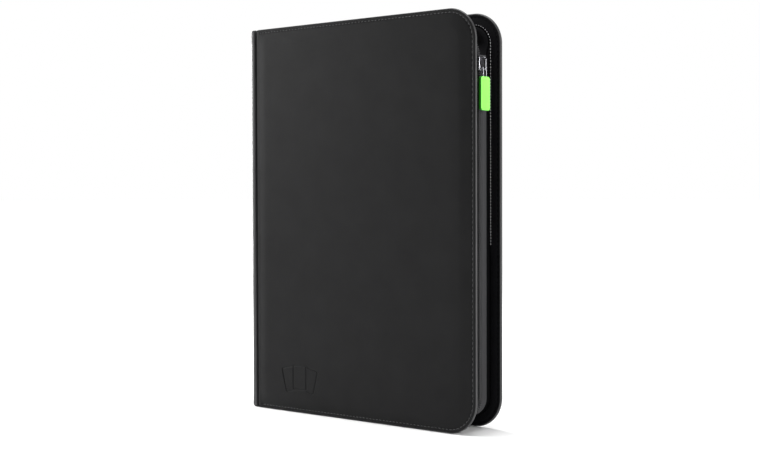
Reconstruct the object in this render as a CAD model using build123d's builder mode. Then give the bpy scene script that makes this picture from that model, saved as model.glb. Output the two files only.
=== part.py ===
"""Zip-around trading card binder, standing on its bottom edge.

X runs from the spine to the fore edge, Y from the front cover to the back
cover, and Z up. The origin is under the middle of the binder. Millimetres.
"""

import os

from build123d import *

os.makedirs("parts", exist_ok=True)

# Cards and pockets
CARD_W = 63.0
CARD_H = 88.0
POCKET_W = CARD_W + 3.5
POCKET_H = CARD_H + 4.0
POCKET_ROWS = 3
POCKET_COLUMNS = 3

# Whole binder
HEIGHT = 350.0
WIDTH = 248.0
THICKNESS = 42.5
CORNER_R = 27.0
SPINE_X = -WIDTH / 2
FORE_X = WIDTH / 2
MID_Z = HEIGHT / 2
SIDES = {"front": -1, "back": 1}

# Padded panels: leather skin, foam, board and lining, from the outside in
SKIN_T = 0.9
COVER_T = 4.0
COVER_FOAM_T = 1.0
COVER_BOARD_T = 1.5
COVER_EDGE_R = 1.4
COVER_HINGE_CORNER_R = 2.0
SPINE_T = 5.5
SPINE_FOAM_T = 1.2
SPINE_BOARD_T = 2.5
SPINE_EDGE_R = 2.2
SPINE_CORNER_R = 2.5
FOLD_GAP = 1.6
COVER_HINGE_X = SPINE_X + SPINE_T + FOLD_GAP
INNER_Y = THICKNESS / 2 - COVER_T

# Hinge folds, which stay clear of the cover that turns past them
FOLD_T = 0.9
FOLD_DEPTH = 1.5
FOLD_CLEARANCE = 0.3
FOLD_END_GAP = 1.5

# Debossed emblem: a fan of three blank cards
EMBLEM_X = -64.0
EMBLEM_Z = 32.0
EMBLEM_CARD_W = 16.0
EMBLEM_CARD_H = 22.4
EMBLEM_CARD_R = 2.0
EMBLEM_LINE = 0.8
EMBLEM_DEPTH = 0.3
EMBLEM_SPREAD = 11.0
EMBLEM_TILT = 14.0

# Leaves: a sheet with a clear pocket film on each face
LEAF_COUNT = 20
SHEET_T = 0.22
FILM_T = 0.12
LEAF_T = SHEET_T + 2 * FILM_T
LEAF_PITCH = 1.45
LEAF_HEIGHT = 290.0
LEAF_ROOT_MARGIN = 10.0
LEAF_FORE_MARGIN = 1.5
LEAF_WIDTH = LEAF_ROOT_MARGIN + POCKET_COLUMNS * POCKET_W + LEAF_FORE_MARGIN
LEAF_BOTTOM = MID_Z - LEAF_HEIGHT / 2

# Binding: leaves nearer the middle are hinged further from the spine
LEAF_ROOT_X = -112.0
LEAF_ROOT_STEP = 0.75
LEAF_START = 0.2
MARGIN_END = 0.55
BINDING_T = 2.0
BINDING_EDGE = 1.2
SPACER_DEPTH = 3.5

# Zip, set in from the edges of the covers
ZIP_INSET = 11.0
ZIP_R = CORNER_R - ZIP_INSET
ZIP_X = FORE_X - ZIP_INSET
ZIP_TOP = HEIGHT - ZIP_INSET
ZIP_CORNER_X = ZIP_X - ZIP_R
ZIP_CORNER_TOP = ZIP_TOP - ZIP_R
ZIP_START_X = -103.0
TAPE_T = 0.8
TAPE_W = 16.05
COIL_W = 2.0
COIL_T = 1.9
COIL_OVERHANG = 0.1
STOP_LENGTH = 3.0
STOP_EXTRA = 0.25

# The zip is open above the slider: the halves part, then each folds onto its cover
PART_START_Z = 304.0
PART_SLIDER_Z = 312.0
PART_NARROWING = 2.2
FOLDED_DEPTH = 6.5
FOLDED_RISE = 3.4

# Slider and its bridge
SLIDER_Z = 305.0
SLIDER_LENGTH = 12.0
SLIDER_W = 9.2
SLIDER_TAIL_W = 8.1
SLIDER_PLATE_T = 1.2
SLIDER_GAP = 0.5
SLIDER_NECK_W = 1.6
SLIDER_NECK_LENGTH = 2.8
SLIDER_EDGE_R = 0.5
FLANGE_T = 0.65
FLANGE_LIP = 0.35
OUTER_PLATE_X = ZIP_X + TAPE_T / 2 + COIL_T + SLIDER_GAP
INNER_PLATE_X = ZIP_X - TAPE_T / 2 - SLIDER_GAP
BRIDGE_X = OUTER_PLATE_X + SLIDER_PLATE_T
BRIDGE_RISE = 4.2
BRIDGE_LENGTH = 11.0
BRIDGE_W = 2.2
BRIDGE_BAND = 1.15
BRIDGE_R = 2.4

# Pull: a wire link through the bridge, moulded into a soft tab
PULL_AXIS_X = BRIDGE_X + 2.0
PULL_AXIS_Z = SLIDER_Z - BRIDGE_LENGTH / 2 + BRIDGE_BAND + 1.05
LINK_WIRE_R = 0.7
LINK_ARM_Y = 2.4
LINK_LENGTH = 10.5
TAB_TOP_Z = 294.4
TAB_LENGTH = 28.0
TAB_W = 13.8
TAB_T = 2.8
TAB_CORNER_R = 2.6
TAB_EDGE_R = 0.7


def save(piece, node):
    """Label a finished sub-part and write its file."""
    piece.part.label = node
    export_step(piece.part, f"parts/{node}.step")


def at_y(y):
    """The upright plane at y, whose extrusions run towards -Y."""
    return Plane.XZ.offset(-y)


def cover_plane(side):
    """The outer face of a cover, facing outwards."""
    origin = (0, side * THICKNESS / 2, MID_Z)
    return Plane(origin=origin, x_dir=(1, 0, 0), z_dir=(0, side, 0))


SPINE_PLANE = Plane(origin=(SPINE_X, 0, MID_Z), x_dir=(0, -1, 0), z_dir=(-1, 0, 0))


def cover_outline(inset):
    """Sketch a cover's outline, drawn in from its edge by inset."""
    middle = (COVER_HINGE_X + FORE_X) / 2
    width = FORE_X - COVER_HINGE_X - 2 * inset
    with BuildSketch(mode=Mode.PRIVATE) as outline:
        with Locations((middle, 0)):
            Rectangle(width, HEIGHT - 2 * inset)
        fore = outline.vertices().group_by(Axis.X)[-1]
        fillet(fore, radius=CORNER_R - inset)
        hinge = outline.vertices().group_by(Axis.X)[0]
        fillet(hinge, radius=COVER_HINGE_CORNER_R - inset)
    add(outline.sketch)


def spine_outline(inset):
    """Sketch the spine panel's outline, drawn in from its edge by inset."""
    RectangleRounded(THICKNESS - 2 * inset, HEIGHT - 2 * inset, SPINE_CORNER_R - inset)


def tray(plane, outline, depth, edge_r, debossed=None):
    """A leather skin: the outer face and the turned-in edge of a panel."""
    with BuildPart() as skin:
        with BuildSketch(plane):
            outline(0)
        extrude(amount=-depth)
        outer_face = skin.faces().sort_by(Axis(plane.origin, plane.z_dir))[-1]
        fillet(outer_face.edges(), radius=edge_r)
        with BuildSketch(plane.offset(-SKIN_T)):
            outline(SKIN_T)
        extrude(amount=-(depth - SKIN_T), mode=Mode.SUBTRACT)
        if debossed:
            extrude(debossed, amount=-EMBLEM_DEPTH, mode=Mode.SUBTRACT)
    return skin


def layer(plane, outline, top, bottom, node):
    """A flat layer inside a skin, between two depths under the outer face."""
    with BuildPart() as sheet:
        with BuildSketch(plane.offset(-top)):
            outline(SKIN_T)
        extrude(amount=top - bottom)
    save(sheet, node)


def emblem(plane):
    """A fan of three card outlines, with the middle card over the other two."""
    width = EMBLEM_CARD_W
    height = EMBLEM_CARD_H
    line = EMBLEM_LINE
    with BuildSketch(plane) as cards:
        for step in (-1, 1, 0):
            drop = abs(step) * 2 * EMBLEM_LINE
            centre = (EMBLEM_X + step * EMBLEM_SPREAD, EMBLEM_Z - MID_Z - drop)
            with Locations(Location((*centre, 0), (0, 0, -step * EMBLEM_TILT))):
                RectangleRounded(width, height, EMBLEM_CARD_R)
                inner_r = EMBLEM_CARD_R - line
                RectangleRounded(width - 2 * line, height - 2 * line, inner_r, mode=Mode.SUBTRACT)
    return cards.sketch


def cover(name, side):
    """One padded cover: skin, foam, board and lining."""
    plane = cover_plane(side)
    debossed = emblem(plane) if side < 0 else None
    save(tray(plane, cover_outline, COVER_T, COVER_EDGE_R, debossed), f"{name}_cover_skin")
    foam_end = SKIN_T + COVER_FOAM_T
    board_end = foam_end + COVER_BOARD_T
    layer(plane, cover_outline, SKIN_T, foam_end, f"{name}_cover_padding")
    layer(plane, cover_outline, foam_end, board_end, f"{name}_cover_board")
    layer(plane, cover_outline, board_end, COVER_T, f"{name}_cover_lining")


def spine():
    """The spine panel: skin, foam, board and lining."""
    save(tray(SPINE_PLANE, spine_outline, SPINE_T, SPINE_EDGE_R), "spine_skin")
    foam_end = SKIN_T + SPINE_FOAM_T
    board_end = foam_end + SPINE_BOARD_T
    layer(SPINE_PLANE, spine_outline, SKIN_T, foam_end, "spine_padding")
    layer(SPINE_PLANE, spine_outline, foam_end, board_end, "spine_board")
    layer(SPINE_PLANE, spine_outline, board_end, SPINE_T, "spine_lining")


def hinge_fold(name, side):
    """The strip of leather at the bottom of a hinge groove."""
    outer_y = THICKNESS / 2 - FOLD_DEPTH
    start_x = SPINE_X + SPINE_T
    width = FOLD_GAP - FOLD_CLEARANCE
    with BuildPart() as fold:
        with BuildSketch(Plane.XY.offset(FOLD_END_GAP)):
            with Locations((start_x + width / 2, side * (outer_y - FOLD_T / 2))):
                Rectangle(width, FOLD_T)
        extrude(amount=HEIGHT - 2 * FOLD_END_GAP)
    save(fold, f"{name}_hinge_fold")


def leaf_y(number):
    """The middle plane of a leaf, counted from the front cover."""
    return (number - (LEAF_COUNT + 1) / 2) * LEAF_PITCH


def leaf_root_x(number):
    """The bend line of a leaf."""
    from_cover = min(number, LEAF_COUNT + 1 - number) - 1
    return LEAF_ROOT_X + from_cover * LEAF_ROOT_STEP


def flat_strip(x_start, x_end, y, thickness, z_bottom, height):
    """An upright flat strip, added to the part being built."""
    with Locations(((x_start + x_end) / 2, y, z_bottom + height / 2)):
        Box(x_end - x_start, thickness, height)


def page(number):
    """One leaf: the sheet and its two clear pocket films."""
    root = leaf_root_x(number)
    y = leaf_y(number)
    film_y = (SHEET_T + FILM_T) / 2
    film_start = root + LEAF_ROOT_MARGIN
    film_end = film_start + POCKET_COLUMNS * POCKET_W
    film_height = POCKET_ROWS * POCKET_H
    film_bottom = MID_Z - film_height / 2
    solids = []
    with BuildPart() as sheet:
        flat_strip(root + LEAF_START, root + LEAF_WIDTH, y, SHEET_T, LEAF_BOTTOM, LEAF_HEIGHT)
    solids.append(sheet.part.solid())
    for face in SIDES.values():
        with BuildPart() as film:
            flat_strip(film_start, film_end, y + face * film_y, FILM_T, film_bottom, film_height)
        solids.append(film.part.solid())
    group = Compound(label=f"page_{number:02d}", children=solids)
    export_step(group, f"parts/page_{number:02d}.step")


def binding():
    """The binding strip, the bound leaf margins and the spacers between them."""
    strip_x = SPINE_X + SPINE_T
    margin_x = strip_x + BINDING_T
    stack = (LEAF_COUNT - 1) * LEAF_PITCH + LEAF_T
    with BuildPart() as strip:
        flat_strip(strip_x, margin_x, 0, stack + 2 * BINDING_EDGE, LEAF_BOTTOM, LEAF_HEIGHT)
    save(strip, "page_binding_strip")
    with BuildPart() as margins:
        for number in range(1, LEAF_COUNT + 1):
            end = leaf_root_x(number) - MARGIN_END
            flat_strip(margin_x, end, leaf_y(number), SHEET_T, LEAF_BOTTOM, LEAF_HEIGHT)
    save(margins, "page_bound_margins")
    with BuildPart() as spacers:
        for number in range(1, LEAF_COUNT):
            y = leaf_y(number) + LEAF_PITCH / 2
            gap = LEAF_PITCH - SHEET_T
            flat_strip(margin_x, margin_x + SPACER_DEPTH, y, gap, LEAF_BOTTOM, LEAF_HEIGHT)
    save(spacers, "page_spacer_strips")


def draw_fore(section, side):
    """Draw a zip section across the fore edge, in a horizontal plane."""
    outer, inner, low, high = section
    corners = [(outer, low), (inner, low), (inner, high), (outer, high)]
    Polygon(*[(ZIP_X - u, side * (INNER_Y - v)) for u, v in corners], align=None)


def draw_along_x(section, side, seam_z, inwards):
    """Draw a zip section across the top or bottom edge, in a plane across X."""
    outer, inner, low, high = section
    corners = [(outer, low), (inner, low), (inner, high), (outer, high)]
    Polygon(*[(side * (INNER_Y - v), seam_z + inwards * u) for u, v in corners], align=None)


def zip_strip(side, closed, parting, folded):
    """A strip along the whole zip: closed below the slider, folded away above.

    Each section is (outer, inner, low, high): how far inwards of the seam it
    starts and ends, and how far off the cover it starts and ends.
    """
    outer, inner, low, high = closed
    y_far = max(side * (INNER_Y - low), side * (INNER_Y - high))
    with BuildPart() as strip:
        with BuildSketch(at_y(y_far)):
            for inset, mode in ((outer, Mode.ADD), (inner, Mode.SUBTRACT)):
                with Locations((ZIP_X - HEIGHT / 2 - inset, MID_Z)):
                    height = ZIP_TOP - ZIP_INSET - 2 * inset
                    RectangleRounded(HEIGHT, height, ZIP_R - inset, mode=mode)
            with Locations((ZIP_START_X, 0)):
                Rectangle(WIDTH, PART_START_Z, align=Align.MIN, mode=Mode.INTERSECT)
        extrude(amount=high - low)
        for lower, z_low, upper, z_high in (
            (closed, PART_START_Z, parting, PART_SLIDER_Z),
            (parting, PART_SLIDER_Z, folded, ZIP_CORNER_TOP),
        ):
            with BuildSketch(Plane.XY.offset(z_low)):
                draw_fore(lower, side)
            with BuildSketch(Plane.XY.offset(z_high)):
                draw_fore(upper, side)
            loft(ruled=True)
        with BuildSketch(Plane.YZ.offset(ZIP_CORNER_X)):
            draw_along_x(folded, side, ZIP_TOP, -1)
        revolve(axis=Axis((ZIP_CORNER_X, 0, ZIP_CORNER_TOP), (0, 1, 0)), revolution_arc=90)
        with BuildSketch(Plane.YZ.offset(ZIP_START_X)):
            draw_along_x(folded, side, ZIP_TOP, -1)
        extrude(amount=ZIP_CORNER_X - ZIP_START_X)
    return strip


def zip_tape(name, side):
    """The woven tape of one half of the zip."""
    face = TAPE_T / 2
    closed = (-face, face, 0, TAPE_W)
    parting = (-face, face, 0, TAPE_W - PART_NARROWING)
    folded = (-face, FOLDED_DEPTH, 0, FOLDED_RISE)
    save(zip_strip(side, closed, parting, folded), f"{name}_zip_tape")


def zip_coil(name, side):
    """The coil on the outer face of one tape, and the stops past its ends."""
    face = TAPE_T / 2
    top = TAPE_W + COIL_OVERHANG
    closed = (-face - COIL_T, -face, top - COIL_W, top)
    parting = (*closed[:2], top - COIL_W - PART_NARROWING, top - PART_NARROWING)
    folded = (*closed[:2], FOLDED_RISE - COIL_W, FOLDED_RISE)
    save(zip_strip(side, closed, parting, folded), f"{name}_zip_coil")
    with BuildPart() as stops:
        with BuildSketch(Plane.YZ.offset(ZIP_START_X - STOP_LENGTH)):
            for section, seam_z, inwards in ((closed, ZIP_INSET, 1), (folded, ZIP_TOP, -1)):
                outer, inner, low, high = section
                grown = (outer - STOP_EXTRA, inner, low - STOP_EXTRA, high)
                draw_along_x(grown, side, seam_z, inwards)
        extrude(amount=STOP_LENGTH)
    save(stops, f"{name}_zip_stops")


def slider_plate_outline():
    """A slider plate seen from outside: wide at the mouth, narrow at the tail."""
    mouth_z = SLIDER_Z + SLIDER_LENGTH / 2
    tail_z = SLIDER_Z - SLIDER_LENGTH / 2
    right = [(SLIDER_TAIL_W / 2, tail_z), (SLIDER_W / 2, SLIDER_Z), (SLIDER_W / 2, mouth_z)]
    left = [(-y, z) for y, z in reversed(right)]
    Polygon(*right, *left, align=None)


def slider_body():
    """Slider body: two plates, the neck between them and the edge flanges."""
    neck_z = SLIDER_Z + SLIDER_LENGTH / 2 - SLIDER_NECK_LENGTH / 2 - SLIDER_EDGE_R
    flange_root = OUTER_PLATE_X
    flange_foot = ZIP_X + TAPE_T / 2 + SLIDER_GAP
    with BuildPart() as body:
        with BuildSketch(Plane.YZ.offset(OUTER_PLATE_X)):
            slider_plate_outline()
        extrude(amount=SLIDER_PLATE_T)
        outer_face = body.faces().sort_by(Axis.X)[-1]
        fillet(outer_face.edges(), radius=SLIDER_EDGE_R)
        with BuildSketch(Plane.YZ.offset(INNER_PLATE_X - SLIDER_PLATE_T)):
            slider_plate_outline()
        extrude(amount=SLIDER_PLATE_T)
        with BuildSketch(Plane.YZ.offset(INNER_PLATE_X)):
            with Locations((0, neck_z)):
                Rectangle(SLIDER_NECK_W, SLIDER_NECK_LENGTH)
        extrude(amount=OUTER_PLATE_X - INNER_PLATE_X)
        for side, foot in ((1, flange_foot), (-1, flange_root - FLANGE_LIP)):
            flange_y = side * (SLIDER_TAIL_W - FLANGE_T) / 2
            with BuildSketch(Plane.YZ.offset(foot)):
                with Locations((flange_y, SLIDER_Z - SLIDER_LENGTH / 4)):
                    Rectangle(FLANGE_T, SLIDER_LENGTH / 2 - 2 * SLIDER_EDGE_R)
            extrude(amount=flange_root - foot)
    save(body, "zip_slider_body")


def slider_bridge():
    """The arched bridge on the slider, which holds the pull's link."""
    low_z = SLIDER_Z - BRIDGE_LENGTH / 2
    with BuildPart() as bridge:
        with BuildSketch(at_y(BRIDGE_W / 2)) as arch:
            with Locations((BRIDGE_X, low_z)):
                Rectangle(BRIDGE_RISE, BRIDGE_LENGTH, align=Align.MIN)
            fillet(arch.vertices().group_by(Axis.X)[-1], radius=BRIDGE_R)
            with BuildSketch(mode=Mode.PRIVATE) as window:
                with Locations((BRIDGE_X, low_z + BRIDGE_BAND)):
                    inner_rise = BRIDGE_RISE - BRIDGE_BAND
                    Rectangle(inner_rise, BRIDGE_LENGTH - 2 * BRIDGE_BAND, align=Align.MIN)
                fillet(window.vertices().group_by(Axis.X)[-1], radius=BRIDGE_R - BRIDGE_BAND)
            add(window.sketch, mode=Mode.SUBTRACT)
        extrude(amount=BRIDGE_W)
    save(bridge, "zip_slider_bridge")


def pull_link():
    """The wire link: a closed loop through the bridge and into the tab."""
    low_z = PULL_AXIS_Z - LINK_LENGTH
    corner = LINK_WIRE_R * 1.6
    with BuildPart() as link:
        with BuildLine(Plane.YZ.offset(PULL_AXIS_X)) as route:
            corners = [
                (-LINK_ARM_Y, PULL_AXIS_Z),
                (LINK_ARM_Y, PULL_AXIS_Z),
                (LINK_ARM_Y, low_z),
                (-LINK_ARM_Y, low_z),
            ]
            FilletPolyline(*corners, radius=corner, close=True)
        start = route.line @ 0
        with BuildSketch(Plane(origin=start, z_dir=route.line % 0)):
            Circle(LINK_WIRE_R)
        sweep(path=route.line)
    return link


def pull_tab(link):
    """The soft tab, moulded round the lower end of the link."""
    with BuildPart() as tab:
        with BuildSketch(Plane.YZ.offset(PULL_AXIS_X - TAB_T / 2)):
            with Locations((0, TAB_TOP_Z - TAB_LENGTH / 2)):
                RectangleRounded(TAB_W, TAB_LENGTH, TAB_CORNER_R)
        extrude(amount=TAB_T)
        faces = tab.faces().sort_by(Axis.X)
        fillet(faces[0].edges() + faces[-1].edges(), radius=TAB_EDGE_R)
        add(link.part, mode=Mode.SUBTRACT)
    save(tab, "zip_pull_tab")


spine()
binding()
for cover_name, cover_side in SIDES.items():
    cover(cover_name, cover_side)
    hinge_fold(cover_name, cover_side)
    zip_tape(cover_name, cover_side)
    zip_coil(cover_name, cover_side)
for leaf_number in range(1, LEAF_COUNT + 1):
    page(leaf_number)
slider_body()
slider_bridge()
wire_link = pull_link()
save(wire_link, "zip_pull_link")
pull_tab(wire_link)
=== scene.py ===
"""Looks of the zip-around card binder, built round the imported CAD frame.

Lengths are in metres, in the CAD model's frame: X from the spine to the fore
edge, Y from the front cover to the back cover, Z up.
"""

import math
from functools import partial

import bmesh
import bpy
import numpy as np
from mathutils import Matrix, Vector
from mathutils.geometry import delaunay_2d_cdt


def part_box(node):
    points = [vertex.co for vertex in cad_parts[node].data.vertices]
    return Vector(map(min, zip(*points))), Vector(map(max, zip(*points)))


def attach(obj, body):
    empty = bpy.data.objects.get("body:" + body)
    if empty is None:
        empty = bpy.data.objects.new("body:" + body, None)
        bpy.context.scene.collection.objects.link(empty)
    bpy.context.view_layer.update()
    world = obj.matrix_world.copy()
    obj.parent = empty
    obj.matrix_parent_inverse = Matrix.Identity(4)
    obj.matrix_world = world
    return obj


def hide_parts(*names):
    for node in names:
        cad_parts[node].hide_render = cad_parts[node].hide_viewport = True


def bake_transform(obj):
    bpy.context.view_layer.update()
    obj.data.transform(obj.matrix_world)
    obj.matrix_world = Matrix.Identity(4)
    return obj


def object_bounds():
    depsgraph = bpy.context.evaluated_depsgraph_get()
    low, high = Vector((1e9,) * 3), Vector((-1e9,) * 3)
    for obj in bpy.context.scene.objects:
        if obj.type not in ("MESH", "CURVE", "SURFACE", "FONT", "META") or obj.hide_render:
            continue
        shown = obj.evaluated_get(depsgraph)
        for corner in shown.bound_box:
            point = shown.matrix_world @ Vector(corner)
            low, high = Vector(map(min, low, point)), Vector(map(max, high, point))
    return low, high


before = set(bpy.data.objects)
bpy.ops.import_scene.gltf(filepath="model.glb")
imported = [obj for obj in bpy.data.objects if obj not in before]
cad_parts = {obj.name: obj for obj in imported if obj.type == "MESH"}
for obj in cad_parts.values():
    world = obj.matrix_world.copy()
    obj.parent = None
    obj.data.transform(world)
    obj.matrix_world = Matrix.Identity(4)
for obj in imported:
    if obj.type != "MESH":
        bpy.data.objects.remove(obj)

CAD_BOX = [list(corner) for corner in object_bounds()]
MM = 0.001

# ---- the frame

SIDES = {"front": -1, "back": 1}
COVER_LOW, COVER_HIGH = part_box("front_cover_skin")
SPINE_LOW, SPINE_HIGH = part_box("spine_skin")
TAPE_LOW, TAPE_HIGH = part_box("front_zip_tape")
SLIDER_LOW, SLIDER_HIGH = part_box("zip_slider_body")
TAB_LOW, TAB_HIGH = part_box("zip_pull_tab")

HEIGHT = COVER_HIGH.z - COVER_LOW.z
COVER_T = COVER_HIGH.y - COVER_LOW.y
OUTER_Y = -COVER_LOW.y
INNER_Y = OUTER_Y - COVER_T
CORNER_R = 27 * MM
HINGE_R = 2 * MM
TAPE_HALF_T = 0.4 * MM
SEAM_INSET = COVER_HIGH.x - TAPE_HIGH.x + TAPE_HALF_T
LEAF_COUNT = sum(name.startswith("page_") and name[5:].isdigit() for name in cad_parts)


def cover_point(side, x, z, depth):
    """A point of a cover, at a depth under its outer face."""
    return (x, side * (OUTER_Y - depth), z)


# ---- meshes


def new_object(name, data):
    thing = bpy.data.objects.new(name, data)
    bpy.context.scene.collection.objects.link(thing)
    return thing


def new_piece(name, verts, faces, materials, smooth=True, face_materials=None):
    """A mesh object from points and faces, with outward normals."""
    mesh = bpy.data.meshes.new(name)
    mesh.from_pydata([tuple(v) for v in verts], [], [tuple(f) for f in faces])
    for material in materials:
        mesh.materials.append(material)
    if face_materials is not None:
        mesh.polygons.foreach_set("material_index", np.asarray(face_materials, np.int32))
    work = bmesh.new()
    work.from_mesh(mesh)
    bmesh.ops.remove_doubles(work, verts=work.verts, dist=1e-6)
    bmesh.ops.dissolve_degenerate(work, edges=work.edges, dist=1e-7)
    bmesh.ops.recalc_face_normals(work, faces=work.faces)
    for face in work.faces:
        face.smooth = smooth
    work.to_mesh(mesh)
    work.free()
    return new_object(name, mesh)


class Soup:
    """Points and faces of many small closed shapes, gathered into one mesh."""

    def __init__(self):
        self.verts = []
        self.faces = []
        self.materials = []

    def add(self, verts, faces, material=0):
        start = len(self.verts)
        self.verts.extend(verts)
        self.faces.extend(tuple(start + i for i in face) for face in faces)
        self.materials.extend([material] * len(faces))

    def piece(self, name, materials, smooth=True):
        return new_piece(name, self.verts, self.faces, materials, smooth, self.materials)


def tube(rings, closed_ends=True):
    """Points and faces of a skin over rings, which all have as many points."""
    rings = np.asarray(rings)
    count, sides = rings.shape[:2]
    faces = []
    for a in range(0, (count - 1) * sides, sides):
        for j in range(sides):
            k = (j + 1) % sides
            faces.append((a + j, a + k, a + sides + k, a + sides + j))
    if closed_ends:
        faces.append(tuple(range(sides)))
        faces.append(tuple(range((count - 1) * sides, count * sides)))
    return rings.reshape(-1, 3).tolist(), faces


def rounded_loop(low, high, radii, inset, counts):
    """Points round a rectangle with rounded corners, drawn in by inset.

    radii are those of the left and right corners. counts are the numbers of
    steps along the level sides, the upright sides, the left arcs and the right
    arcs.
    """
    arcs = []
    for at_right, at_top, start in ((1, 0, -90), (1, 1, 0), (0, 1, 90), (0, 0, 180)):
        radius = radii[at_right]
        reach = max(radius, inset)
        centre_x = high[0] - reach if at_right else low[0] + reach
        centre_z = high[1] - reach if at_top else low[1] + reach
        angles = np.radians(np.linspace(start, start + 90, counts[2 + at_right] + 1))
        r = max(radius - inset, 0)
        arcs.append(np.stack([centre_x + r * np.cos(angles), centre_z + r * np.sin(angles)], 1))
    loop = []
    for i, arc in enumerate(arcs):
        previous = arcs[i - 1][-1]
        ts = np.linspace(0, 1, counts[i % 2] + 1)[1:-1, None]
        loop.append(previous + (arc[0] - previous) * ts)
        loop.append(arc)
    return np.concatenate(loop)


def fill_inside(loop, inner):
    """Triangles inside a loop of 2-D points, using some points inside it: the
    inner points used, and the faces, which count the loop's points first."""
    count = len(loop)
    points = [Vector(p) for p in loop] + [Vector(p) for p in inner]
    edges = [(i, (i + 1) % count) for i in range(count)]
    verts, _, faces, origins, _, _ = delaunay_2d_cdt(points, edges, [], 1, 1e-8)
    index = {}
    extra = []
    for i, origin in enumerate(origins):
        if origin and min(origin) < count:
            index[i] = min(origin)
        else:
            index[i] = count + len(extra)
            extra.append(tuple(verts[i]))
    return extra, [tuple(index[i] for i in face) for face in faces]


def inset_of(x, z, low, high, radii):
    """How far a point lies inside a rectangle with rounded corners."""
    radius = radii[0] if x < (low[0] + high[0]) / 2 else radii[1]
    half_x = (high[0] - low[0]) / 2
    half_z = (high[1] - low[1]) / 2
    qx = abs(x - (low[0] + high[0]) / 2) - half_x + radius
    qz = abs(z - (low[1] + high[1]) / 2) - half_z + radius
    outside = math.hypot(max(qx, 0), max(qz, 0))
    return radius - outside - min(max(qx, qz), 0)


def smooth_step(x, low=0.0, high=1.0):
    t = np.clip((x - low) / (high - low), 0, 1)
    return t * t * (3 - 2 * t)


# rings each side of an edge's turn that take the edge material: a painted highlight on the leather, painted
# shade on the tab
EDGE_RINGS = (3, 4)
FILL_SPACING = 7 * MM


def no_relief(x, z, inset, step):
    """The relief of a plain panel."""
    return 0.0


def panel(name, place, rect, radii, counts, profile, materials, relief=no_relief, extra=(), is_hole=None):
    """A padded panel: rings that follow its outline, with both faces filled.

    profile is (inset, depth) pairs, from the outer face round the edge to the
    inner face. materials are those of the outer face, edge, inner face and
    needle holes, whose near-black material is painted shade. relief(x, z, inset,
    step) is how much deeper the outer face lies, where step counts the points
    round the outline. extra points refine the outer face. is_hole(inset, step, x)
    tells where the needle holes are.
    """
    low, high = rect
    depths = [depth for _, depth in profile]
    middle = (min(depths) + max(depths)) / 2
    rings = []
    for inset, depth in profile:
        ring = []
        for step, (x, z) in enumerate(rounded_loop(low, high, radii, inset, counts), 1):
            lowered = relief(x, z, inset, step) if depth < middle else 0.0
            ring.append(place(x, z, depth + lowered))
        rings.append(ring)
    verts, faces = tube(rings, closed_ends=False)
    count = len(rings[0])
    inner_side = min(len(materials) - 1, 2)
    edge = 1 if len(materials) > 2 else 0
    turn = sum(depth < middle for depth in depths)
    surface = []
    for ring, (inset, _) in enumerate(profile[:-1]):
        kind = 0 if ring < turn - EDGE_RINGS[0] else edge if ring < turn + EDGE_RINGS[1] else inner_side
        kinds = [kind] * count
        if is_hole and ring < turn:
            kinds = [3 if is_hole(inset, step, rings[0][step][0]) else kind for step in range(count)]
        surface.extend(kinds)
    first_inset = profile[0][0]
    grid = []
    for x in np.arange(low[0] + first_inset + FILL_SPACING / 2, high[0] - first_inset, FILL_SPACING):
        for z in np.arange(low[1] + first_inset + FILL_SPACING / 2, high[1] - first_inset, FILL_SPACING):
            if inset_of(x, z, low, high, radii) > first_inset + FILL_SPACING / 4:
                grid.append((x, z))
    for ring, points in ((0, [*grid, *extra]), (len(profile) - 1, [])):
        inset, depth = profile[ring]
        inner, triangles = fill_inside(rounded_loop(low, high, radii, inset, counts), points)
        base = ring * count
        added = len(verts)
        for x, z in inner:
            lowered = relief(x, z, inset_of(x, z, low, high, radii), 0) if ring == 0 else 0.0
            verts.append(place(x, z, depth + lowered))
        for triangle in triangles:
            faces.append(tuple(base + i if i < count else added + i - count for i in triangle))
            surface.append(inner_side if ring else 0)
    return new_piece(name, verts, faces, materials, face_materials=surface)


class Path:
    """A line through 3-D points with a normal at each, read by distance."""

    def __init__(self, points, normals):
        self.points = np.asarray(points, float)
        self.normals = np.asarray(normals, float)
        steps = np.linalg.norm(np.diff(self.points, axis=0), axis=1)
        self.along = np.concatenate([[0], np.cumsum(steps)])
        self.length = self.along[-1]

    def at(self, distances):
        """Points and normals at distances along the line."""
        tables = (self.points.T, self.normals.T)
        return [np.stack([np.interp(distances, self.along, c) for c in table], 1) for table in tables]


def unit(vectors):
    return vectors / np.maximum(np.linalg.norm(vectors, axis=-1, keepdims=True), 1e-12)


def round_rings(centres, across, up, radii, sides=6):
    """Rings of points round a line's points, in the planes of across and up."""
    angles = np.linspace(0, 2 * np.pi, sides, endpoint=False)[None, :, None]
    ring = np.cos(angles) * across[:, None] + np.sin(angles) * up[:, None]
    return centres[:, None] + ring * np.reshape(radii, (-1, 1, 1))


THREAD_STATIONS = np.linspace(0, 1, 7)
THREAD_SWELL = np.sin(np.pi * np.clip(THREAD_STATIONS, 0.04, 0.96)) ** 0.45
THREAD_RISE = 0.9 * THREAD_SWELL - 0.55


def sew(soup, path, marks, radius, gap=0.14, material=0):
    """Threads along a path from needle hole to needle hole, with sunken ends.

    gap is the share of a stitch's length that its thread leaves free at each end.
    """
    for first, last in zip(marks[:-1], marks[1:]):
        distances = first + (last - first) * (gap + THREAD_STATIONS * (1 - 2 * gap))
        centres, normals = path.at(distances)
        tangents = unit(np.gradient(centres, axis=0))
        across = unit(np.cross(tangents, normals))
        up = unit(np.cross(across, tangents))
        centres = centres + up * (radius * THREAD_RISE)[:, None]
        soup.add(*tube(round_rings(centres, across, up, radius * THREAD_SWELL)), material)


# ---- materials


def fill_sockets(node, **values):
    """Set or link a node's sockets, which are named with _ for a space."""
    for name, value in values.items():
        socket = node.inputs[name.replace("_", " ")]
        if isinstance(value, bpy.types.NodeSocket):
            node.id_data.links.new(value, socket)
        else:
            socket.default_value = value


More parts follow.
